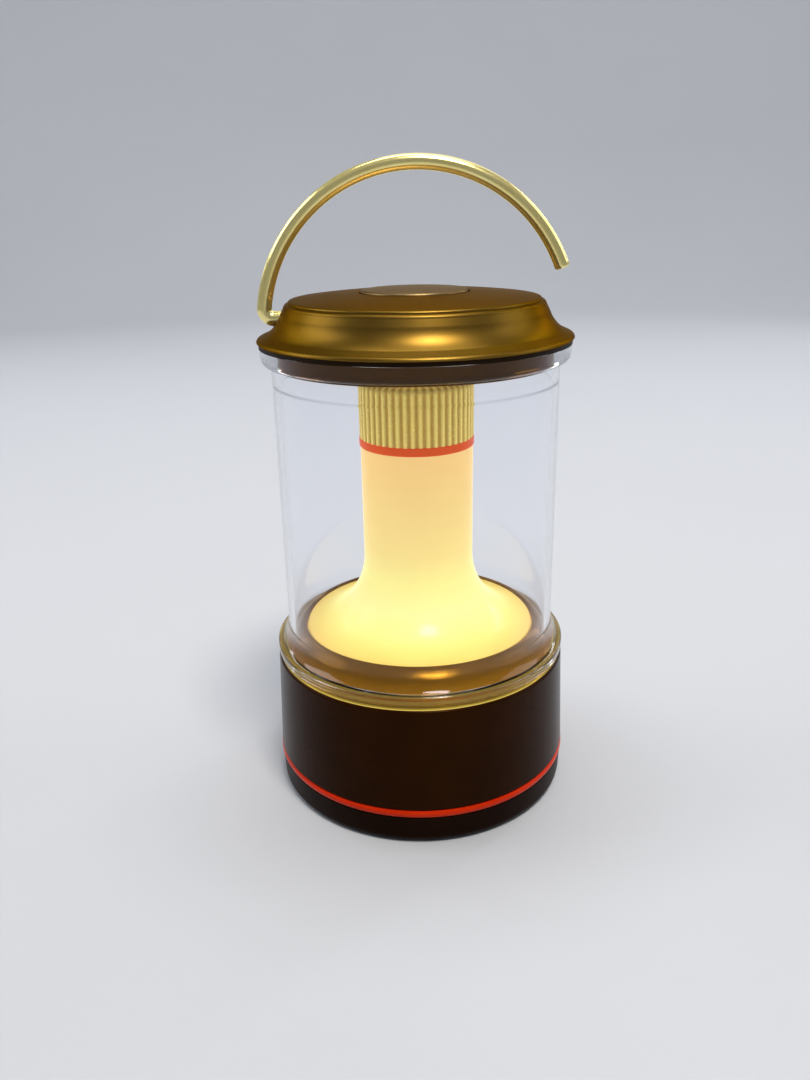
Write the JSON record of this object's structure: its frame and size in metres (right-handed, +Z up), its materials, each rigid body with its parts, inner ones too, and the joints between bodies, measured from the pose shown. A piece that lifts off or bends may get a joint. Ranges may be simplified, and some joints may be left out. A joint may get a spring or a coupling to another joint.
{
  "type": "camping lantern",
  "caption": "Small battery camping lantern: clear globe round a lit opal trumpet, bronze lid with a push button and a swinging wire hook, dark drum with a turning battery base.",
  "frame": {"origin": "centre of the underside, on the surface the lantern stands on", "axes": "+Z up along the globe's axis; -Y is the side shown in the picture; the hook's root is at -X"},
  "size_m": [0.0756, 0.0756, 0.154],
  "materials": {
    "cover_black": "satin black moulding",
    "trim_red": "gloss orange red",
    "drum_brown": "glossy brown black",
    "moulding_black": "matt black moulding",
    "globe_clear": "clear polished polycarbonate",
    "seal_rubber": "matt",
    "bezel_bronze": "bright metallised dark bronze",
    "diffuser_opal": "opal, lit from within",
    "cap_ivory": "pale champagne satin",
    "lid_bronze": "satin bronze metallic paint",
    "button_bronze": "satin bronze metallic paint",
    "hook_steel": "bright drawn wire",
    "board_green": "solder mask",
    "board_white": "white solder mask",
    "switch_case": "matt black",
    "screw_steel": "zinc",
    "cell_jacket": "plain printed jacket",
    "led_phosphor": "phosphor",
    "contact_nickel": "nickel plated",
    "wire_red": "insulated wire"
  },
  "bodies": {
    "lantern_body": {"base_screws": "screw_steel", "bezel_ring": "bezel_bronze", "body_shell": "drum_brown", "chassis_plate": "bezel_bronze", "column_band": "trim_red", "diffuser": "diffuser_opal", "driver_chip": "switch_case", "globe": "globe_clear", "globe_seat": "bezel_bronze", "hook_bush": "moulding_black", "inductor": "switch_case", "leaf_contact_minus": "contact_nickel", "leaf_contact_plus": "contact_nickel", "led_1": "led_phosphor", "led_2": "led_phosphor", "led_3": "led_phosphor", "led_4": "led_phosphor", "led_5": "led_phosphor", "led_6": "led_phosphor", "led_board": "board_white", "lid": "lid_bronze", "lid_gasket": "seal_rubber", "lid_screws": "screw_steel", "mantle_cap": "cap_ivory", "switch_board": "board_green", "switch_wire_left": "wire_red", "switch_wire_right": "wire_red", "tact_switch": "switch_case", "upper_collar": "bezel_bronze"},
    "hook": {"hook": "hook_steel", "hook_clip": "hook_steel"},
    "power_button": {"button": "button_bronze", "switch_plunger": "switch_case"},
    "base": {"base_cover": "cover_black", "red_ring": "trim_red", "battery_cradle": "moulding_black", "battery_cell_1": "cell_jacket", "battery_cell_2": "cell_jacket", "battery_cell_3": "cell_jacket", "battery_cell_4": "cell_jacket", "series_link_left": "contact_nickel", "series_link_right": "contact_nickel", "series_link_cross": "contact_nickel", "terminal_plus": "contact_nickel", "terminal_minus": "contact_nickel"}
  },
  "joints": [
    {"name": "hook_swing", "type": "hinge", "parent": "lantern_body", "child": "hook", "pos_m": [-0.027, 0, 0.1192], "axis": [1, 0, 0], "range_deg": [-84, 84]},
    {"name": "button_press", "type": "slide", "parent": "lantern_body", "child": "power_button", "axis": [0, 0, -1], "range_m": [0, 0.0008], "stiffness_N_per_m": 2000, "springref_m": -0.0004},
    {"name": "base_turn", "type": "hinge", "parent": "lantern_body", "child": "base", "pos_m": [0, 0, 0], "axis": [0, 0, 1], "range_deg": [0, 45]}
  ]
}
